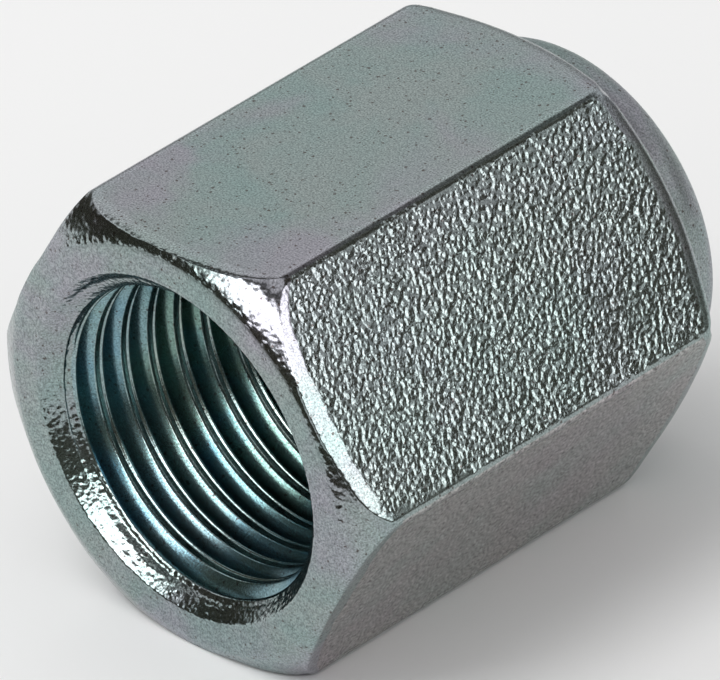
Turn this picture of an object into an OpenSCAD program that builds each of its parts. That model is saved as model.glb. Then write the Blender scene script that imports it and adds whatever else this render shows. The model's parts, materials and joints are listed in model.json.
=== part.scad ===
// Flare nut for a 5/16 in tube, 1/2-20 thread, 5/8 in across the flats, one solid in millimetres.
// It lies on a flat with its axis along Y. The threaded mouth faces -Y and the round collar faces +Y.
// The origin is on the axis, midway between the mouth face and the end of the collar.

/* [Hexagon] */
// Distance across the flats
across_flats = 15.875; // [14.5:0.005:24]
// Length from the mouth face to the step down to the collar
hex_length = 17.9; // [16.5:0.1:40]
// Radius along the six long edges
corner_radius = 0.4; // [0.1:0.05:1.5]

/* [Mouth end] */
// Distance from the flats in to where the flat mouth face ends, along a radius
mouth_inset = 0.25; // [0:0.05:0.7]
// Angle of the corner chamfer from the mouth face, in degrees
mouth_chamfer_angle = 30; // [15:1:45]
// Radius where the mouth face turns into the corner chamfer
mouth_edge_radius = 0.6; // [0.1:0.05:1]
// Radius that blends the chamfer into the six corners
mouth_corner_blend = 1.7; // [0.2:0.1:2.4]

/* [Collar end] */
// Distance from the flats in to where the rear chamfer ends, along a radius
rear_inset = 0.6; // [0:0.05:0.8]
// Angle of the rear corner chamfer from a plane across the axis, in degrees
rear_chamfer_angle = 30; // [15:1:45]
// Radius that blends the rear chamfer into the six corners
rear_corner_blend = 1; // [0.2:0.1:2.4]
// Diameter of the round collar
collar_d = 13.5; // [11:0.1:14.2]
// Length of the collar past the hexagon
collar_length = 2.2; // [1.8:0.1:8]
// Radius that rounds the free end of the collar
collar_round = 1.4; // [0.2:0.1:1.6]
// Radius of the fillet where the collar leaves the hexagon
collar_fillet = 0.4; // [0.1:0.05:0.6]

/* [Threaded bore] */
// Major diameter of the internal thread
thread_d = 12.7; // [10:0.1:13]
// Pitch of the thread, which sets the depth of its grooves
thread_pitch = 1.27; // [0.75:0.01:1.6]
// Diameter of the countersink at the mouth face
countersink_d = 13; // [12.8:0.05:14.2]
// Angle between the walls of the countersink, in degrees
countersink_angle = 90; // [60:1:120]
// Depth from the mouth face to the tapered seat
bore_depth = 15; // [6:0.1:17.5]

/* [Tube end] */
// Diameter of the hole that the tube passes through
tube_hole_d = 8.2; // [4.5:0.1:10]
// Angle of the tapered seat from the axis, in degrees
seat_angle = 45; // [37:1:60]
// Width of the chamfer where the tube hole leaves the collar
tube_hole_chamfer = 0.4; // [0.1:0.05:0.6]

/* [Hidden] */
$fn = 96;
// An internal thread of 60 degrees is 0.5413 of its pitch deep
thread_depth_per_pitch = 0.5413;
minor_r = thread_d / 2 - thread_depth_per_pitch * thread_pitch;
overall_length = hex_length + collar_length;
mouth_face_r = across_flats / 2 - mouth_inset;
rear_face_r = across_flats / 2 - rear_inset;
collar_r = collar_d / 2;
countersink_r = countersink_d / 2;
countersink_depth = (countersink_r - minor_r) / tan(countersink_angle / 2);
tube_hole_r = tube_hole_d / 2;
seat_end = bore_depth + (minor_r - tube_hole_r) / tan(seat_angle);
// The turned outline passes this far outside the six long edges
corner_clearance = 0.05;
outline_r = (across_flats / 2 - corner_radius) / cos(30) + corner_radius + corner_clearance;
// Cutters run this far past the faces that they open
overrun = 1;

function unit(v) = v / norm(v);

// Distance from a corner to where a circle of radius r touches its two sides
function setback(a, b, c, r) =
    let (u = unit(a - b), w = unit(c - b)) r / tan(acos(u * w) / 2);

// Centre of the circle of radius r that touches both sides of the corner b
function round_centre(a, b, c, r) =
    let (u = unit(a - b), w = unit(c - b)) b + unit(u + w) * r / sin(acos(u * w) / 2);

// Outline with each corner of radius over zero cut straight between its touching points
function cut_corners(points, radii) = [
    for (i = [0:len(points) - 1])
        let (
            a = points[(i + len(points) - 1) % len(points)],
            b = points[i],
            c = points[(i + 1) % len(points)]
        )
        each radii[i] > 0
            ? [b + unit(a - b) * setback(a, b, c, radii[i]), b + unit(c - b) * setback(a, b, c, radii[i])]
            : [b]
];

// Outline whose outward corners are rounded to their own radii
module rounded_outline(points, radii) {
    polygon(cut_corners(points, radii));
    for (i = [0:len(points) - 1])
        if (radii[i] > 0)
            translate(round_centre(
                points[(i + len(points) - 1) % len(points)],
                points[i],
                points[(i + 1) % len(points)],
                radii[i]
            ))
                circle(r = radii[i]);
}

// Section across the axis, with corners along X and flats above and below
module hexagon() {
    corners = [for (i = [0:5]) across_flats / sqrt(3) * [cos(60 * i), sin(60 * i)]];
    rounded_outline(corners, [for (i = [0:5]) corner_radius]);
}

// Half of the turned outline, radius along X and distance from the mouth face along Y
module turned_outline() {
    mouth_rise = (outline_r - mouth_face_r) * tan(mouth_chamfer_angle);
    rear_rise = (outline_r - rear_face_r) * tan(rear_chamfer_angle);
    rounded_outline(
        [
            [0, 0],
            [mouth_face_r, 0],
            [outline_r, mouth_rise],
            [outline_r, hex_length - rear_rise],
            [rear_face_r, hex_length],
            [0, hex_length]
        ],
        [0, mouth_edge_radius, mouth_corner_blend, rear_corner_blend, 0, 0]
    );
    rounded_outline(
        [
            [0, hex_length - overrun],
            [collar_r, hex_length - overrun],
            [collar_r, overall_length],
            [0, overall_length]
        ],
        [0, 0, collar_round, 0]
    );
    difference() {
        translate([collar_r - overrun, hex_length - overrun])
            square(overrun + collar_fillet);
        translate([collar_r + collar_fillet, hex_length + collar_fillet])
            circle(r = collar_fillet);
    }
}

// Half section of everything that is bored away
module bored_outline() {
    polygon([
        [0, -overrun],
        [countersink_r + overrun * tan(countersink_angle / 2), -overrun],
        [minor_r, countersink_depth],
        [minor_r, bore_depth],
        [tube_hole_r, seat_end],
        [tube_hole_r, overall_length - tube_hole_chamfer],
        [tube_hole_r + tube_hole_chamfer + overrun, overall_length + overrun],
        [0, overall_length + overrun]
    ]);
}

module nut() {
    color("darkgray")
        translate([0, -overall_length / 2, 0])
            rotate([-90, 0, 0])
                difference() {
                    intersection() {
                        linear_extrude(overall_length) hexagon();
                        rotate_extrude() turned_outline();
                    }
                    rotate_extrude() bored_outline();
                }
}

nut();
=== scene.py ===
import json
import math
import bpy
from mathutils import Matrix, Vector

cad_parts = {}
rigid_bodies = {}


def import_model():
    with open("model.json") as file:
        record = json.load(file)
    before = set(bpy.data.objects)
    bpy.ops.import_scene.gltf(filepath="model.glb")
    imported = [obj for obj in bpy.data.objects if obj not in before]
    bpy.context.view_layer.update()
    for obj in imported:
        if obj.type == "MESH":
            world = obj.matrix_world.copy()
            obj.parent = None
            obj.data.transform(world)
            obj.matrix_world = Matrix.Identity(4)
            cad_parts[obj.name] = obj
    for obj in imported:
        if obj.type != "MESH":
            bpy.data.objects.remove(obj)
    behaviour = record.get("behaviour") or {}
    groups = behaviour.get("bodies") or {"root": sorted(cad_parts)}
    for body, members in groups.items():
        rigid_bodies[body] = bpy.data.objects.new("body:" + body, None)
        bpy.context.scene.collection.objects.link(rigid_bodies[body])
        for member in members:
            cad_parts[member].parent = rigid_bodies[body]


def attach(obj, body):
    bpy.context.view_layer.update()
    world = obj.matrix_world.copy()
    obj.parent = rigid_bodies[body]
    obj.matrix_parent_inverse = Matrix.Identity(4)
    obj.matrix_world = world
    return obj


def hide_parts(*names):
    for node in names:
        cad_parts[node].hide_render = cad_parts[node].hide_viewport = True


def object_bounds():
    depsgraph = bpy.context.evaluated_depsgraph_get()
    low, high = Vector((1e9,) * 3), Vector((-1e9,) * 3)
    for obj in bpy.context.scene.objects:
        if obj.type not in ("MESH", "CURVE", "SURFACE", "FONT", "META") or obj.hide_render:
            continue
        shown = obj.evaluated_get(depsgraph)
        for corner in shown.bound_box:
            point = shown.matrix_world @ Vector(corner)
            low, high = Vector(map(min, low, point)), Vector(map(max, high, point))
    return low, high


# A zinc plated flare nut that lies on one flat, threaded mouth to the left front.
# Shapes are worked out in millimetres and turned into metres when a mesh is made.
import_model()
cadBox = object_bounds()
mm = 0.001
perMetre = 1000.0  # millimetres in a metre
print("frame loaded")

nutBody = {
    "acrossFlats": 15.875,
    "hexLength": 17.9,
    "cornerRadius": 0.4,  # along the six long edges
    "cornerClearance": 0.05,  # how far outside them the turned outline passes
    "softAtCorners": 0.35,  # softness of the arcs at the corners, as a share of that between them
    "unevenness": (0.25, 0.30),  # of the arcs, on the chamfer and on the flat
    "bevels": {"flatRight": 0.17},  # how far a front arc is cut back, as a share of its softness
    "collarFillet": 0.4,
    "collarDiameter": 13.5,
    "collarLength": 2.2,
    "collarRound": 1.4,
    "tubeHole": 8.2,
    "holeChamfer": 0.4,
    "seatAngle": 45,
    "boreDepth": 15.0,
    "countersink": 13.1,
    "countersinkAngle": 45,  # from the mouth face
    "countersinkSoftness": 0.22,
    "countersinkDepth": 0.85,  # to where its finish ends
    "ringDepth": 0.08,  # to where the rows of the thread begin
    # rows of the soft bends in the tube hole: steps (out, along) from each corner
    "rimBend": ((0.10, 0.0), (0.03, -0.008), (-0.03, -0.035)),
    "holeBend": ((0.04, 0.045),),
    "seatEndBend": ((0.03, -0.03), (0.10, -0.10)),
    "seatStartBend": ((-0.10, 0.10), (-0.02, 0.03), (0.0, -0.05), (0.0, -0.8)),
    "seatReach": 0.08,  # how far before the seat the tube hole's straight rows end
}
mouthEnd = {
    "inset": 0.25,  # from the flats in to the end of the chamfer
    "angle": 30,  # of the chamfer, from a plane across the axis
    "edgeRadius": 1.1,  # where the end face turns into the chamfer
    "cornerBlend": 1.7,  # where the chamfer turns into the six corners
    "softness": (0.12, 0.52),  # how far the arc rounds off, on the chamfer and on the flat
    "seeds": (0.2, 0.7),  # of its unevenness there
    "edgeRows": (0.0, 0.2, 0.4, 0.6, 0.8, 1.0),
    "arcRows": (0.15, 0.3, 0.45, 0.6, 0.75, 0.9, 1.0),
}
rearEnd = {
    "inset": 0.6,
    "angle": 30,
    "edgeRadius": 0.12,
    "cornerBlend": 1.0,
    "softness": (0.25, 0.45),
    "seeds": (1.3, 1.9),
    "edgeRows": (0.0, 0.33, 0.67, 1.0),
    "arcRows": (0.2, 0.4, 0.6, 0.8, 1.0),
}
thread = {
    "majorDiameter": 12.7,
    "pitch": 1.27,
    "depthPerPitch": 0.5413,
    "length": 13.3,
    "runout": 1.4,
    "startTurn": 0.10,  # turns the helix about the axis
    "crestBlend": 0.035,  # how softly a crest runs into the countersink
    "crestReach": (-0.17, 0.18),  # where a crest's finish starts and ends, as a share of pitch
    # one turn of the formed thread: place and height, as shares of pitch and depth
    "profile": [
        (-0.480, 0.010), (-0.460, 0.060), (-0.430, 0.155), (-0.390, 0.280), (-0.340, 0.440),
        (-0.300, 0.568), (-0.262, 0.690), (-0.235, 0.767), (-0.210, 0.837), (-0.185, 0.900),
        (-0.162, 0.950), (-0.138, 0.983), (-0.117, 0.997), (-0.095, 1.000), (-0.060, 1.000),
        (0.000, 1.000), (0.050, 1.000), (0.080, 1.000), (0.097, 1.000), (0.114, 1.000),
        (0.130, 1.000), (0.150, 1.000), (0.170, 0.985), (0.190, 0.940), (0.250, 0.700),
        (0.330, 0.380), (0.410, 0.130), (0.470, 0.020),
    ],
    # the shallow valley along the middle of each crest: where it starts, is level and ends
    "split": (-0.125, -0.060, 0.080, 0.150),
    "splitDepth": 0.075,
    "splitFades": (0.35, 0.75),  # depths between which the split grows to its full depth
    "mouthBlend": (0.12, 0.3, 0.9),  # extra softness of the first groove, and where it fades
    "mouthRoot": (0.20, 0.45),  # how far its root is filled, and up to which height
    "spareTurns": (2, 4),  # turns of rows before and after, which close up into single points
}
guard = 0.03  # a row this close to a bend keeps the faces beside it flat
leastStep = 0.005  # between two rows that would otherwise meet
rowCounts = {"chamfer": 4, "mouthFace": 4, "faceRounding": 3, "flat": 13, "tubeHole": 3, "ring": 8}
columns = {"edge": (0.0, 0.33, 0.66, 0.97, 1.27, 1.6), "flat": 14}  # degrees from a corner, count
flatNames = ["flatRight", "flatTop", "flatLeftUp", "flatLeftDown", "flatBottom", "flatRightDown"]
ripples = ((3, 0.5), (7, 0.3), (13, 0.22), (29, 0.16), (61, 0.10))  # waves per turn, and size

halfAcross = nutBody["acrossFlats"] / 2
totalLength = nutBody["hexLength"] + nutBody["collarLength"]
minorRadius = thread["majorDiameter"] / 2 - thread["depthPerPitch"] * thread["pitch"]
# distance from the axis to the centre of the rounding of a long edge
cornerCentre = (halfAcross - nutBody["cornerRadius"]) / math.cos(math.radians(30))


def wave(x, seed):  # smooth wander between about -1 and 1 for an angle in turns
    total = 0.0
    for step, (turns, size) in enumerate(ripples):
        total += size * math.sin(2 * math.pi * (turns * x + seed * (0.37 + 0.61 * step)))
    return total


def blendPoint(a, b, c, t):  # a soft corner from a to c that turns at b
    return tuple((1 - t) ** 2 * a[i] + 2 * t * (1 - t) * b[i] + t * t * c[i] for i in (0, 1))


def spread(a, b, count):  # count places after a, the last one at b
    return [a + (b - a) * (i + 1) / count for i in range(count)]


def around(corner, steps):  # rows beside a corner
    return [(corner[0] + out, corner[1] + along) for out, along in steps]


def ease(x, low, high):  # 0 below low, 1 above high, smooth between
    share = min(1.0, max(0.0, (x - low) / (high - low)))
    return share * share * (3 - 2 * share)


def flatAt(angle):
    return flatNames[int(angle % 360 // 60)]


def hexRadius(angle):  # the hexagon with its rounded long edges
    edge = nutBody["cornerRadius"]
    off = abs((angle + 30) % 60 - 30)  # degrees from the nearest corner
    turn = math.atan2(edge / 2, cornerCentre + edge * math.cos(math.radians(30)))
    if math.radians(off) >= turn:
        return halfAcross / math.cos(math.radians(30 - off))
    across = cornerCentre * math.sin(math.radians(off))
    return cornerCentre * math.cos(math.radians(off)) + math.sqrt(edge * edge - across * across)


def chamferRise(radius, end):  # height of a turned chamfer at a radius, and its angle there
    blend = end["cornerBlend"]
    outer = cornerCentre + nutBody["cornerRadius"] + nutBody["cornerClearance"]
    start = halfAcross - end["inset"]
    lean = math.radians(end["angle"])
    setBack = blend * math.tan((math.pi / 2 - lean) / 2)
    top = (outer - start) * math.tan(lean)
    if radius <= outer - setBack * math.cos(lean):
        return (radius - start) * math.tan(lean), lean
    out = radius - (outer - blend)
    return top + setBack - math.sqrt(blend * blend - out * out), math.asin(min(1.0, out / blend))


def frontBevel(angle):
    inner = 1 - abs((angle % 60) / 30 - 1) ** 4  # 0 at the corners, near 1 between them
    return nutBody["bevels"].get(flatAt(angle), 0.0) * inner


def endRows(angle, end, bevel=0.0):  # (radius, distance from the end) from its face to the flat
    turn = angle / 360
    outer = hexRadius(angle)
    start = halfAcross - end["inset"]
    lean = math.radians(end["angle"])
    edge = end["edgeRadius"]
    back = edge * math.tan(lean / 2)
    rise, slope = chamferRise(outer, end)
    share = (math.pi / 2 - slope) / math.radians(60)  # 0 at the corners, 1 between them
    soft = nutBody["softAtCorners"] + (1 - nutBody["softAtCorners"]) * share
    onChamfer, onFlat = (
        width * soft * (1 + uneven * wave(turn, seed))
        for width, uneven, seed in zip(end["softness"], nutBody["unevenness"], end["seeds"])
    )
    corner = outer - bevel * onFlat
    # between the corners the flat cuts the rounding short
    ending = math.asin(min(math.sin(lean), (corner - guard - start + back) / edge))
    rows = []
    for t in end["edgeRows"]:
        tilt = ending * t
        rows.append((start - back + edge * math.sin(tilt), edge * (1 - math.cos(tilt))))
    first = rows[-1][0]
    last = max(corner - onChamfer * math.cos(slope), first + leastStep)
    rows += [(r, chamferRise(r, end)[0]) for r in spread(first, last, rowCounts["chamfer"])]
    a, b, c = rows[-1], (corner, chamferRise(corner, end)[0]), (outer, rise + onFlat)
    rows += [blendPoint(a, b, c, t) for t in end["arcRows"]]
    return rows + [(outer, rise + onFlat + guard)]


def collarRows():  # round the collar into its chamfer, then through the tube hole to the bore
    n = nutBody
    hexEnd = n["hexLength"]
    collar = n["collarDiameter"] / 2
    fillet, rounding = n["collarFillet"], n["collarRound"]
    hole = n["tubeHole"] / 2
    rows = [(collar + fillet, hexEnd)]
    for t in range(15, 91, 15):
        a = math.radians(t)
        rows.append((collar + fillet - fillet * math.sin(a),
                     hexEnd + fillet - fillet * math.cos(a)))
    rows.append((collar, totalLength - rounding - guard))
    for t in range(0, 91, 9):
        a = math.radians(t)
        rows.append((collar - rounding + rounding * math.cos(a),
                     totalLength - rounding + rounding * math.sin(a)))
    rows.append((collar - rounding - guard, totalLength))
    rows += around((hole + n["holeChamfer"], totalLength), n["rimBend"])
    chamferEnd = totalLength - n["holeChamfer"]
    rows += around((hole, chamferEnd), n["holeBend"])
    seatEnd = n["boreDepth"] + (minorRadius - hole) / math.tan(math.radians(n["seatAngle"]))
    straight = spread(chamferEnd - guard, seatEnd + n["seatReach"], rowCounts["tubeHole"])
    inside = [(hole, s) for s in [chamferEnd - guard] + straight]
    inside += around((hole, seatEnd), n["seatEndBend"])
    inside += around((minorRadius, n["boreDepth"]), n["seatStartBend"])
    return rows, inside


def countersinkRadius(s):  # the soft edge of the countersink, then its cone
    lean = math.radians(nutBody["countersinkAngle"])
    soft = nutBody["countersinkSoftness"]
    out = nutBody["countersink"] / 2
    if s < soft * (1 - math.cos(lean)):
        return out + soft * math.tan(lean / 2) - soft * math.sin(math.acos(1 - s / soft))
    return out - s / math.tan(lean)


def withinTurn(turns):  # place within one turn, -0.5 to 0.5, with the middle of a crest near 0
    return (turns + 0.5) % 1 - 0.5


def threadHeight(turns):  # height of the thread, 0 to 1, at a place given in turns from a crest
    points = thread["profile"]
    u = withinTurn(turns)
    previous = (points[-1][0] - 1, points[-1][1])
    for point in points + [(points[0][0] + 1, points[0][1])]:
        if u <= point[0]:
            share = (u - previous[0]) / (point[0] - previous[0])
            return previous[1] + (point[1] - previous[1]) * share
        previous = point
    return 0.0


def splitDepth(turns):  # the shallow valley between the two lips of a crest
    start, levelStart, levelEnd, end = thread["split"]
    u = withinTurn(turns)
    return thread["splitDepth"] * ease(u, start, levelStart) * (1 - ease(u, levelEnd, end))


def boreRadius(turn, s):  # thread, countersink and run-out together
    t = thread
    depth = t["majorDiameter"] / 2 - minorRadius
    turns = s / t["pitch"] + turn - t["startTurn"]
    fading = ease(t["length"] - s, 0, t["runout"])
    extra, low, high = t["mouthBlend"]
    nearMouth = 1 - ease(s, low, high)
    height = threadHeight(turns)
    fill, reach = t["mouthRoot"]
    height += fill * nearMouth * max(0.0, 1 - height / reach) ** 2
    radius = minorRadius + depth * (1 - height) * fading
    cone = countersinkRadius(s)
    soft = t["crestBlend"] + extra * nearMouth
    apart = abs(radius - cone)
    together = max(radius, cone)
    if apart < soft:
        together += (soft - apart) ** 2 / (4 * soft)
    return together + splitDepth(turns) * fading * ease(s, *t["splitFades"])


def columnAngles():  # degrees round the axis, close together at the six long edges
    half = list(columns["edge"]) + spread(columns["edge"][-1], 30, columns["flat"])
    sector = half + [60 - a for a in reversed(half[1:-1])]
    return [60 * k + a for k in range(6) for a in sector]


def addObject(name, data):
    thing = bpy.data.objects.new(name, data)
    bpy.context.scene.collection.objects.link(thing)
    return thing


def makeNut(finishes):
    angles = columnAngles()
    count = len(angles)
    points, kinds = [], []

    def put(angle, radius, s):
        a = math.radians(angle)
        along = (s - totalLength / 2) * mm
        points.append((radius * math.cos(a) * mm, along, radius * math.sin(a) * mm))
        return len(points) - 1

    def add(part, j, face):
        kinds.append((flatAt(angles[j]) if part == "flat" else part, tuple(face)))

    # the outside, from the rim of the countersink over both ends to the end of the bore
    soft, ringDepth = nutBody["countersinkSoftness"], nutBody["ringDepth"]
    lean = math.radians(nutBody["countersinkAngle"])
    faceIn = nutBody["countersink"] / 2 + soft * math.tan(lean / 2)
    stop = math.acos(1 - ringDepth / soft)
    ring = rowCounts["ring"]
    bends = [soft * (1 - math.cos(stop * (1 - i / ring))) for i in range(ring + 1)]
    collar, tubeEnd = collarRows()
    onFace = rowCounts["faceRounding"]  # rows of the front rounding that look like the mouth face
    outside = []
    for angle in angles:
        front = endRows(angle, mouthEnd, frontBevel(angle))
        rear = [(r, nutBody["hexLength"] - s) for r, s in reversed(endRows(angle, rearEnd))]
        faceRadii = spread(faceIn, front[0][0], rowCounts["mouthFace"])[:-1]
        flatPlaces = spread(front[-1][1], rear[0][1], rowCounts["flat"])[:-1]
        bands = [
            ("countersink", [(countersinkRadius(s), s) for s in bends]),
            ("mouthFace", [(r, 0.0) for r in faceRadii] + front[:onFace]),
            ("frontEdge", front[onFace:]),
            ("flat", [(front[-1][0], s) for s in flatPlaces]),
            ("rearEdge", rear),
            ("collar", collar),
            ("tubeEnd", tubeEnd),
        ]
        outside.append([put(angle, r, s) for _, band in bands for r, s in band])
    parts = [name for name, band in bands for _ in band]  # the finish of each row
    for j in range(count):
        a, b = outside[j], outside[(j + 1) % count]
        for i in range(len(parts) - 1):
            onFlat = parts[i] == "flat" and parts[i + 1] == "rearEdge"
            add("flat" if onFlat else parts[i + 1], j, (a[i + 1], b[i + 1], b[i], a[i]))

    # the thread follows its helix, so its rows shift by one turn at the seam
    steps = [u for u, _ in thread["profile"]]
    perTurn = len(steps)
    before, after = thread["spareTurns"]
    startRow = -before * perTurn
    endRow = (int(thread["length"] / thread["pitch"]) + after) * perTurn
    helix = []
    for j, angle in enumerate(angles):
        turn = angle / 360
        column = {}
        last = put(angle, minorRadius, thread["length"])
        for i in range(startRow, endRow):
            lap, step = divmod(i, perTurn)
            s = (lap + steps[step] - turn + thread["startTurn"]) * thread["pitch"]
            if s <= ringDepth:
                column[i] = outside[j][0]
            elif s >= thread["length"]:
                column[i] = last
            else:
                column[i] = put(angle, boreRadius(turn, s), s)
        helix.append((column, last))

    def row(j, i):
        if j == count:
            j, i = 0, i - perTurn
        return helix[j][0][i] if i >= startRow else outside[j][0]

    mouth = -totalLength / 2 * mm
    crestStart, crestEnd = thread["crestReach"]
    for j in range(count):
        for i in range(startRow, endRow - 1):
            face = [row(j, i), row(j + 1, i), row(j + 1, i + 1), row(j, i + 1)]
            face = [v for k, v in enumerate(face) if v != face[k - 1]]
            if len(face) < 3 or len(set(face)) != len(face):
                continue
            depth = sum(points[v][1] - mouth for v in face) / len(face) / mm
            middle = (steps[i % perTurn] + steps[(i + 1) % perTurn]) / 2
            part = "crest" if crestStart < middle < crestEnd else "groove"
            add("countersink" if depth < nutBody["countersinkDepth"] else part, j, face)
        following = (j + 1) % count
        add("groove", j, (helix[following][1], outside[following][-1], outside[j][-1], helix[j][1]))

    mesh = bpy.data.meshes.new("nutBody")
    names = sorted({name for name, _ in kinds})
    mesh.from_pydata(points, [], [face for _, face in kinds])
    for name in names:
        mesh.materials.append(finishes[name])
    mesh.polygons.foreach_set("material_index", [names.index(name) for name, _ in kinds])
    mesh.validate()
    mesh.update()
    body = addObject("nutBody", mesh)
    mesh.shade_smooth()
    return body


zinc = {
    "base": (0.300, 0.352, 0.345, 1),
    "cool": (0.255, 0.355, 0.345, 1),
    "warm": (0.344, 0.325, 0.378, 1),
    "cloudSize": 4.5,
    "cloudAmount": 0.78,
    "grainSize": 0.205,
    "grainStretch": 1.15,
    "grainLean": 0.40,
    "mottleSize": 0.065,
    "mottleAmount": 0.52,
    "speckColor": (0.060, 0.036, 0.030, 1),
    "speckStrength": 0.75,
    "specks": {"Spacing": 0.21, "Size": 0.044, "Share": 0.55},
}
# Grain is the height of the etched crystals in micrometres. The flats were drawn against
# different dies, so each has its own.
flats = {
    "flatRight": {"angle": 30, "grain": 36.0, "roughness": 0.18, "cloudAmount": 0.25},
    "flatTop": {"angle": 90, "grain": 2.6, "roughness": 0.28},
    "flatLeftUp": {"angle": 150, "grain": 11.0, "roughness": 0.26},
    "flatLeftDown": {"angle": 210, "grain": 25.0, "roughness": 0.22},
    "flatBottom": {"angle": 270, "grain": 6.0, "roughness": 0.30},
    # this lower flat's plating colours are lighter than the zinc's: painted light, which makes up
    # for the shade of the floor under the nut that this flat reflects
    "flatRightDown": {
        "angle": 330, "grain": 3.0, "roughness": 0.28, "mottleSize": 0.11, "mottleAmount": 0.75,
        "base": (0.390, 0.380, 0.374, 1), "cool": (0.340, 0.385, 0.370, 1),
        "warm": (0.405, 0.365, 0.385, 1),
    },
}
# Where the grain of a flat sets in, in millimetres from its long edges and from both arcs.
flatEdges = {
    "side": (0.05, 0.28),
    "front": (0.12, 0.65),
    "rear": (0.35, 0.75),
    "frontLeft": 0.12,  # share of the grain that is left on the front arc
    "patchSwing": 0.5,  # how far patches push these lines to and fro
    "sideRagged": 2.2,  # how much more they do so at the long edges
    "frontRagged": 2.0,  # and at the front arc
    "patchGain": (0.9, 0.55),  # how patches scale the grain: slope, start
    "burnished": (0.45, 0.25),  # from the long edges, none to full
    "burnishedRoughness": 0.20,
}
turned = {
    "mouthFace": {"rings": 1.2, "pitch": 0.30, "grain": 1.6, "grainSize": 0.12, "roughness": 0.28},
    "frontEdge": {
        "rings": 0.0, "pitch": 0.30, "grain": 12.0, "grainSize": 0.24, "roughness": 0.16,
        "nicks": 1.0, "nickRing": (7.60, 7.85), "nickFade": 0.15,  # radii in millimetres
    },
    "rearEdge": {"rings": 0.6, "pitch": 0.30, "grain": 2.0, "grainSize": 0.12, "roughness": 0.26},
    "collar": {"rings": 0.6, "pitch": 0.30, "grain": 2.0, "grainSize": 0.12, "roughness": 0.45},
    "countersink": {
        "rings": 4.0, "pitch": 0.20, "grain": 20.0, "grainSize": 0.21, "roughness": 0.16,
    },
}
ringWobble = 0.3
boreFinishes = {
    "crest": {
        "base": (0.300, 0.385, 0.395, 1),
        "cool": (0.230, 0.360, 0.400, 1),
        "warm": (0.330, 0.400, 0.360, 1),
        "deep": (0.290, 0.365, 0.350, 1),
        "roughness": 0.17,
        "grain": 2.5,
    },
    # the groove colours are darker than the crest's: painted shade in the recesses of the thread,
    # on the plating's own blue tint
    "groove": {
        "base": (0.245, 0.370, 0.405, 1),
        "cool": (0.130, 0.310, 0.430, 1),
        "warm": (0.215, 0.335, 0.290, 1),
        "deep": (0.190, 0.315, 0.275, 1),
        "roughness": 0.22,
        "grain": 1.2,
    },
    "tubeEnd": {**zinc, "deep": zinc["base"], "roughness": 0.22, "grain": 2.0},
}
boreGrainSize = 0.10
greeningAndDeepShade = (2.5, 7.0)  # depths in millimetres between which the plating turns from blue to green and darker: the green is the plating's own, the darkening is painted shade deep in the bore


def wire(tree, kind, values=None, **settings):  # a node with its settings and filled inputs
    node = tree.nodes.new(kind)
    for name, value in settings.items():
        setattr(node, name, value)
    for name, value in (values or {}).items():
        if isinstance(value, bpy.types.NodeSocket):
            tree.links.new(value, node.inputs[name])
        else:
            node.inputs[name].default_value = value
    return node


def calc(tree, operation, a, b=0.0, c=0.0):
    return wire(tree, "ShaderNodeMath", {0: a, 1: b, 2: c}, operation=operation).outputs[0]


def plus(tree, a, b):
    return calc(tree, "ADD", a, b)


def minus(tree, a, b):
    return calc(tree, "SUBTRACT", a, b)


def times(tree, a, b):
    return calc(tree, "MULTIPLY", a, b)


def over(tree, a, b):
    return calc(tree, "DIVIDE", a, b)


def timesPlus(tree, a, b, c):
    return calc(tree, "MULTIPLY_ADD", a, b, c)


def fade(tree, value, low, high):  # 0 below low, 1 above high
    values = {"Value": value, "From Min": low, "From Max": high}
    node = wire(tree, "ShaderNodeMapRange", values, interpolation_type="SMOOTHSTEP")
    return node.outputs["Result"]


def noise(tree, where, scale, detail, **more):
    values = {"Vector": where, "Scale": scale, "Detail": detail, **more}
    return wire(tree, "ShaderNodeTexNoise", values).outputs[0]


def split(tree, vector):
    return wire(tree, "ShaderNodeSeparateXYZ", {0: vector}).outputs


def mixColor(tree, factor, a, b):
    return wire(tree, "ShaderNodeMix", {0: factor, 6: a, 7: b}, data_type="RGBA").outputs[2]


def newGroup(name, inputs, outputs):
    group = bpy.data.node_groups.new(name, "ShaderNodeTree")
    for label, kind in inputs.items():
        group.interface.new_socket(label, in_out="INPUT", socket_type="NodeSocket" + kind)
    for label, kind in outputs.items():
        group.interface.new_socket(label, in_out="OUTPUT", socket_type="NodeSocket" + kind)
    given = group.nodes.new("NodeGroupInput").outputs
    return group, given, group.nodes.new("NodeGroupOutput").inputs


def place(tree, group, values):
    return wire(tree, "ShaderNodeGroup", values, node_tree=group).outputs


def makeGrain():  # etched crystals of the plating: short raised grains, Size in millimetres
    fineness, pits, patchScale = 1.2, 0.8, 700.0
    tree, given, out = newGroup(
        "etchedGrain",
        {"Place": "Vector", "Size": "Float", "Stretch": "Float", "Lean": "Float"},
        {"Height": "Float", "Patch": "Float"},
    )
    scale = over(tree, perMetre, given["Size"])
    leaning = wire(tree, "ShaderNodeVectorRotate",
                   {"Vector": given["Place"], "Angle": given["Lean"]}, rotation_type="Z_AXIS")
    parts = split(tree, leaning.outputs[0])
    along = over(tree, parts[0], given["Stretch"])
    grid = wire(tree, "ShaderNodeCombineXYZ", {0: along, 1: parts[1], 2: parts[2]}).outputs[0]
    crystals = wire(tree, "ShaderNodeTexVoronoi",
                    {"Vector": grid, "Scale": scale, "Smoothness": 0.35}, feature="SMOOTH_F1")
    fine = noise(tree, grid, times(tree, scale, fineness), 0.6)
    height = minus(tree, fine, times(tree, crystals.outputs["Distance"], pits))
    tree.links.new(height, out["Height"])
    tree.links.new(noise(tree, given["Place"], patchScale, 2.0), out["Patch"])
    return tree


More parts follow.
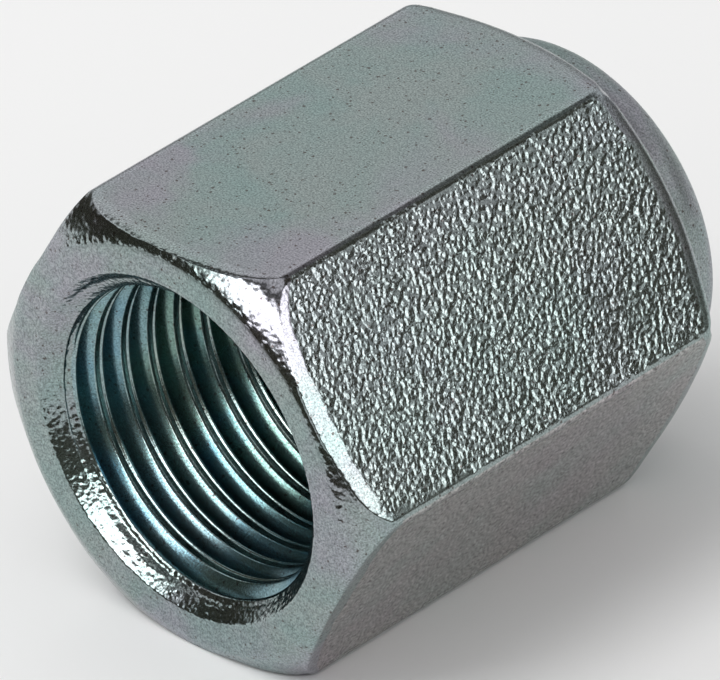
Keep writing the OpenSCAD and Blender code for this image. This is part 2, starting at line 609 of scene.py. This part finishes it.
def makeRings():  # marks of the lathe round the axis, Pitch in millimetres
    driftScale = 160.0
    tree, given, out = newGroup(
        "latheRings",
        {"Place": "Vector", "Pitch": "Float", "Wobble": "Float"},
        {"Height": "Float", "Radius": "Float", "Depth": "Float"},
    )
    parts = split(tree, given["Place"])
    square = plus(tree, times(tree, parts[0], parts[0]), times(tree, parts[2], parts[2]))
    radius = times(tree, calc(tree, "SQRT", square), perMetre)
    depth = times(tree, parts[1], perMetre)
    drift = noise(tree, given["Place"], driftScale, 1.0)
    moved = plus(tree, plus(tree, radius, depth), times(tree, drift, given["Wobble"]))
    across = over(tree, moved, given["Pitch"])
    values = {"W": across, "Scale": 1.0, "Detail": 3.0, "Roughness": 0.55}
    rings = wire(tree, "ShaderNodeTexNoise", values, noise_dimensions="1D")
    tree.links.new(rings.outputs[0], out["Height"])
    tree.links.new(radius, out["Radius"])
    tree.links.new(depth, out["Depth"])
    return tree


def makeClouds():  # faint colours of the passivated plating, from green to lilac
    look = {"Roughness": 0.6, "Distortion": 0.5}
    shift, shrink = (0.031, 0.017, 0.043), 0.8  # of the warm clouds against the cool ones
    coolReach, warmReach = (0.38, 0.70), (0.42, 0.70)
    tree, given, out = newGroup(
        "platingClouds",
        {"Place": "Vector", "Base": "Color", "Cool": "Color", "Warm": "Color",
         "Size": "Float", "Amount": "Float"},
        {"Color": "Color"},
    )
    scale = over(tree, perMetre, given["Size"])
    first = noise(tree, given["Place"], scale, 3.0, **look)
    moved = wire(tree, "ShaderNodeVectorMath", {0: given["Place"], 1: shift}, operation="ADD")
    second = noise(tree, moved.outputs[0], times(tree, scale, shrink), 3.0, **look)
    cool = times(tree, fade(tree, first, *coolReach), given["Amount"])
    warm = times(tree, fade(tree, second, *warmReach), given["Amount"])
    cooled = mixColor(tree, cool, given["Base"], given["Cool"])
    tree.links.new(mixColor(tree, warm, cooled, given["Warm"]), out["Color"])
    return tree


def makeMottle():  # fine light and dark of the plating, Size in millimetres
    swingGain = 4.0  # the noise stays near its middle, so its swing is widened
    tree, given, out = newGroup(
        "fineMottle",
        {"Place": "Vector", "Size": "Float", "Amount": "Float"},
        {"Factor": "Float"},
    )
    fine = noise(tree, given["Place"], over(tree, perMetre, given["Size"]), 2.0)
    swing = times(tree, minus(tree, fine, 0.5), swingGain)
    tree.links.new(timesPlus(tree, swing, given["Amount"], 1.0), out["Factor"])
    return tree


def makeSpecks():  # sparse dark specks, Spacing and Size in millimetres
    leastSize, outlineScale, outlineGain = 0.3, 22000.0, 2.0
    tree, given, out = newGroup(
        "darkSpecks",
        {"Place": "Vector", "Spacing": "Float", "Size": "Float", "Share": "Float"},
        {"Mask": "Float"},
    )
    scale = over(tree, perMetre, given["Spacing"])
    cells = wire(tree, "ShaderNodeTexVoronoi", {"Vector": given["Place"], "Scale": scale})
    chosen = wire(tree, "ShaderNodeSeparateColor", {0: cells.outputs["Color"]}).outputs
    reach = times(tree, over(tree, given["Size"], given["Spacing"]),
                  plus(tree, chosen[1], leastSize))
    rough = times(tree, noise(tree, given["Place"], outlineScale, 1.0), outlineGain)
    near = calc(tree, "LESS_THAN", cells.outputs["Distance"], times(tree, reach, rough))
    picked = calc(tree, "LESS_THAN", chosen[0], given["Share"])
    tree.links.new(times(tree, near, picked), out["Mask"])
    return tree


grainGroup, ringsGroup, cloudsGroup = makeGrain(), makeRings(), makeClouds()
mottleGroup, specksGroup = makeMottle(), makeSpecks()


def newFinish(name, roughness):
    finish = bpy.data.materials.new(name)
    finish.use_nodes = True
    tree = finish.node_tree
    shader = tree.nodes["Principled BSDF"]
    shader.inputs["Metallic"].default_value = 1.0
    shader.inputs["Roughness"].default_value = roughness
    where = tree.nodes.new("ShaderNodeTexCoord").outputs["Object"]
    return finish, tree, shader, where


def plating(tree, where, colors):  # plated colour with its clouds, mottle and specks
    look = {**zinc, **colors}
    clouds = place(tree, cloudsGroup, {
        "Place": where, "Base": look["base"], "Cool": look["cool"], "Warm": look["warm"],
        "Size": look["cloudSize"], "Amount": look["cloudAmount"]})["Color"]
    mottle = place(tree, mottleGroup, {
        "Place": where, "Size": look["mottleSize"], "Amount": look["mottleAmount"]})["Factor"]
    toned = wire(tree, "ShaderNodeVectorMath", {0: clouds, "Scale": mottle}, operation="SCALE")
    specks = place(tree, specksGroup, {"Place": where, **zinc["specks"]})["Mask"]
    strength = times(tree, specks, zinc["speckStrength"])
    return mixColor(tree, strength, toned.outputs[0], zinc["speckColor"])


def bump(tree, height, micrometres, normal=None):
    values = {"Height": height, "Distance": micrometres * 1e-6, "Strength": 1.0}
    if normal is not None:
        values["Normal"] = normal
    return wire(tree, "ShaderNodeBump", values).outputs["Normal"]


def finishEnds(tree, shader, color, normal):
    tree.links.new(color, shader.inputs["Base Color"])
    tree.links.new(normal, shader.inputs["Normal"])


def plainRings(tree, where):  # only for its Radius and Depth
    return place(tree, ringsGroup, {"Place": where, "Pitch": 1.0, "Wobble": 0.0})


def arcDepth(tree, radius, end):  # how far from its end the chamfer is cut at a radius
    beyond = minus(tree, radius, halfAcross - end["inset"])
    return times(tree, beyond, math.tan(math.radians(end["angle"])))


def makeFlat(name, look):
    finish, tree, shader, where = newFinish(name, look["roughness"])
    edges = flatEdges
    upright = {"Vector": where, "Angle": math.radians(look["angle"] - 90)}
    laid = wire(tree, "ShaderNodeVectorRotate", upright, rotation_type="Y_AXIS").outputs[0]
    rings = plainRings(tree, where)
    # distances in millimetres from the long edges and from the arcs at both ends
    across = times(tree, calc(tree, "ABSOLUTE", split(tree, laid)[0]), perMetre)
    side = minus(tree, halfAcross * math.tan(math.radians(30)), across)
    fromMouth = plus(tree, rings["Depth"], totalLength / 2)
    fromStep = minus(tree, nutBody["hexLength"], fromMouth)
    front = minus(tree, fromMouth, arcDepth(tree, rings["Radius"], mouthEnd))
    rear = minus(tree, fromStep, arcDepth(tree, rings["Radius"], rearEnd))
    grain = place(tree, grainGroup, {
        "Place": laid, "Size": zinc["grainSize"], "Stretch": zinc["grainStretch"],
        "Lean": zinc["grainLean"]})
    # the grain fades out raggedly towards all four sides
    ragged = times(tree, minus(tree, grain["Patch"], 0.5), edges["patchSwing"])
    fromSide = timesPlus(tree, ragged, edges["sideRagged"], side)
    fromFront = timesPlus(tree, ragged, edges["frontRagged"], front)
    inside = fade(tree, fromSide, *edges["side"])
    left = edges["frontLeft"]
    onFront = timesPlus(tree, fade(tree, fromFront, *edges["front"]), 1 - left, left)
    inside = times(tree, inside, onFront)
    inside = times(tree, inside, fade(tree, plus(tree, rear, ragged), *edges["rear"]))
    uneven = timesPlus(tree, grain["Patch"], *edges["patchGain"])
    height = times(tree, times(tree, grain["Height"], inside), uneven)
    burnished = fade(tree, side, *edges["burnished"])
    values = {0: burnished, 2: look["roughness"], 3: edges["burnishedRoughness"]}
    rough = wire(tree, "ShaderNodeMix", values).outputs[0]
    tree.links.new(rough, shader.inputs["Roughness"])
    finishEnds(tree, shader, plating(tree, where, look), bump(tree, height, look["grain"]))
    return finish


def makeTurned(name, look):
    finish, tree, shader, where = newFinish(name, look["roughness"])
    rings = place(tree, ringsGroup, {
        "Place": where, "Pitch": look["pitch"], "Wobble": ringWobble})
    grain = place(tree, grainGroup, {
        "Place": where, "Size": look["grainSize"], "Stretch": 1.0, "Lean": 0.0})
    first = bump(tree, rings["Height"], look["rings"])
    height = grain["Height"]
    if "nicks" in look:  # knocks along the edge of the mouth face
        low, high = look["nickRing"]
        ring = times(tree, fade(tree, rings["Radius"], low, low + look["nickFade"]),
                     fade(tree, rings["Radius"], high + look["nickFade"], high))
        height = times(tree, height, timesPlus(tree, ring, look["nicks"], 1.0))
    finishEnds(tree, shader, plating(tree, where, {}), bump(tree, height, look["grain"], first))
    return finish


def makeBore(name, look):
    finish, tree, shader, where = newFinish(name, look["roughness"])
    grain = place(tree, grainGroup, {
        "Place": where, "Size": boreGrainSize, "Stretch": 1.0, "Lean": 0.0})
    fromMouth = plus(tree, plainRings(tree, where)["Depth"], totalLength / 2)
    # further into the bore the colour turns to the darker deep one: painted shade deep in the bore,
    # on the plating's own green tint
    base = mixColor(tree, fade(tree, fromMouth, *greeningAndDeepShade), look["base"], look["deep"])
    color = plating(tree, where, {**look, "base": base})
    finishEnds(tree, shader, color, bump(tree, grain["Height"], look["grain"]))
    return finish


finishes = {name: makeFlat(name, look) for name, look in flats.items()}
finishes.update({name: makeTurned(name, look) for name, look in turned.items()})
finishes.update({name: makeBore(name, look) for name, look in boreFinishes.items()})
print("finishes:", len(finishes))

body = makeNut(finishes)
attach(body, "root")
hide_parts("nut")
print("nut body:", len(body.data.polygons), "faces")

studio = {
    "floorColor": (0.86, 0.86, 0.86, 1),
    "floorSize": 4.0,
    "floorDrop": 0.00001,  # keeps it just under the nut
    # colour of the room by height: (sine of the elevation, level, tint)
    # the dark band between about 45 and 60 degrees up draws the edges of the top flat
    "room": [
        (-0.30, 0.42, (1, 1, 1)), (0.10, 0.40, (1, 1, 1)), (0.36, 0.52, (1, 1, 1)),
        (0.46, 0.90, (1, 1, 1)), (0.66, 0.92, (1, 1, 1)), (0.76, 0.08, (1, 0.95, 0.80)),
        (0.83, 0.07, (1, 1, 1)), (0.91, 0.80, (1, 1, 1)), (1.00, 0.90, (1, 1, 1)),
    ],
    # (azimuth from -Y towards +X, elevation, distance, width, height, level, seen in
    # reflections); one that isn't seen in them lights the floor
    "softboxes": {
        "lowLeft": (-2, 27, 0.36, 0.26, 0.21, 3.5, True),
        "lowMiddle": (44, 28, 0.36, 0.33, 0.13, 3.2, True),
        "lowRight": (95, 22, 0.36, 0.29, 0.153, 2.35, True),
        "overhead": (-40, 58, 0.70, 0.60, 0.60, 2.7, False),
    },
    # dark screens that only reflections see: (azimuth, elevation of the lower edge and upper)
    "screens": {
        "lowScreen": [
            (-98, 3, 21), (-62, 3, 21), (-57, 3, 32), (-46, -7, 34), (-33, -7, 34), (-29, -7, 18),
            (-25, -8, 13), (-14, -12, 9), (4, -15, 9), (14, -15, 9), (22, -13, 15), (28, -13, 22),
            (34, -10, 22), (39, -1, 22), (70, -1, 22), (78, -7, 14), (84, -7, 9), (106, -4, 9),
            (116, 0, 15), (150, 0, 17), (166, 0, 10),
        ],
        "highScreen": [(104, 36, 62), (120, 32, 62), (152, 32, 62)],
    },
    "screenDistance": 0.065,
    "screenColor": (0.070, 0.064, 0.048, 1),
    "screenStep": 4,  # degrees between its columns
    "screenLift": 0.0003,  # above the floor
    "sheetRoughness": 0.9,
}


def toward(azimuth, elevation):
    a, e = math.radians(azimuth), math.radians(elevation)
    return Vector((math.sin(a) * math.cos(e), -math.cos(a) * math.cos(e), math.sin(e)))


def makeSoftbox(name, azimuth, elevation, distance, width, height, level, seen):
    lamp = bpy.data.lights.new(name, "AREA")
    lamp.shape = "RECTANGLE"
    lamp.size, lamp.size_y = width, height
    lamp.energy = math.pi * width * height * level
    thing = addObject(name, lamp)
    way = toward(azimuth, elevation)
    thing.location = way * distance
    thing.rotation_mode = "QUATERNION"
    thing.rotation_quaternion = way.to_track_quat("Z", "Y")
    thing.visible_camera = False
    thing.visible_glossy = seen
    thing.visible_diffuse = not seen


def makeSheet(name, points, faces, color):
    mesh = bpy.data.meshes.new(name)
    mesh.from_pydata(points, [], faces)
    finish = bpy.data.materials.new(name)
    finish.use_nodes = True
    shader = finish.node_tree.nodes["Principled BSDF"]
    shader.inputs["Base Color"].default_value = color
    shader.inputs["Roughness"].default_value = studio["sheetRoughness"]
    shader.inputs["Specular IOR Level"].default_value = 0.0
    mesh.materials.append(finish)
    thing = addObject(name, mesh)
    return thing


def makeScreen(name, edges):  # a curved band round the nut
    points = []
    for before, after in zip(edges, edges[1:]):
        parts = max(1, round((after[0] - before[0]) / studio["screenStep"]))
        for i in range(parts + (after is edges[-1])):
            azimuth, low, high = (
                math.radians(p + (q - p) * i / parts) for p, q in zip(before, after)
            )
            for edge in (low, high):
                span = studio["screenDistance"]
                if edge < 0:  # an edge below the horizon lies on the floor
                    span = min(span, (-ground - studio["screenLift"]) / math.tan(-edge))
                points.append((span * math.sin(azimuth), -span * math.cos(azimuth),
                               span * math.tan(edge)))
    faces = [(k, k + 2, k + 3, k + 1) for k in range(0, len(points) - 2, 2)]
    screen = makeSheet(name, points, faces, studio["screenColor"])
    screen.visible_camera = screen.visible_shadow = screen.visible_diffuse = False


reach, ground = studio["floorSize"] / 2, cadBox[0].z - studio["floorDrop"]
corners = [(x * reach, y * reach, ground) for x, y in ((-1, -1), (1, -1), (1, 1), (-1, 1))]
makeSheet("floor", corners, [(0, 1, 2, 3)], studio["floorColor"])
for name, edges in studio["screens"].items():
    makeScreen(name, edges)
for name, values in studio["softboxes"].items():
    makeSoftbox(name, *values)

world = bpy.data.worlds.new("room")
bpy.context.scene.world = world
world.use_nodes = True
tree = world.node_tree
direction = tree.nodes.new("ShaderNodeTexCoord").outputs["Generated"]
up = split(tree, direction)[2]
ramp = wire(tree, "ShaderNodeValToRGB", {0: timesPlus(tree, up, 0.5, 0.5)})
ramp.color_ramp.interpolation = "EASE"
stops = ramp.color_ramp.elements
while len(stops) < len(studio["room"]):
    stops.new(0.5)
for stop, (height, level, tint) in zip(stops, studio["room"]):
    stop.position = height / 2 + 0.5
    stop.color = (level * tint[0], level * tint[1], level * tint[2], 1)
tree.links.new(ramp.outputs[0], tree.nodes["Background"].inputs["Color"])
tree.nodes["Background"].inputs["Strength"].default_value = 1.0
bpy.context.scene.view_settings.view_transform = "Standard"
print("studio ready")

view = {
    "azimuth": 46.732,
    "elevation": 32.281,
    "roll": -4.241,
    "fieldOfView": 2.365,  # degrees across the long side
    "distance": 37.30,  # in widths across the flats, as are the three below
    "right": 0.0443,
    "up": 0.0230,
    "behindMouth": 0.5,
    "sensorWidth": 36,
    "clip": (0.01, 20),
}
camera = addObject("camera", bpy.data.cameras.new("camera"))
bpy.context.scene.camera = camera
back = toward(view["azimuth"], view["elevation"])
a, roll = math.radians(view["azimuth"]), math.radians(view["roll"])
sideways = Vector((math.cos(a), math.sin(a), 0))
above = back.cross(sideways)
right = sideways * math.cos(roll) + above * math.sin(roll)
upward = above * math.cos(roll) - sideways * math.sin(roll)
width = nutBody["acrossFlats"] * mm
aimPoint = Vector((0, cadBox[0].y + view["behindMouth"] * width, 0))
offset = back * view["distance"] + right * view["right"] + upward * view["up"]
camera.location = aimPoint + offset * width
camera.rotation_mode = "QUATERNION"
camera.rotation_quaternion = Matrix((right, upward, back)).transposed().to_quaternion()
camera.data.sensor_width = view["sensorWidth"]
camera.data.lens = view["sensorWidth"] / 2 / math.tan(math.radians(view["fieldOfView"] / 2))
camera.data.clip_start, camera.data.clip_end = view["clip"]
print("camera ready")
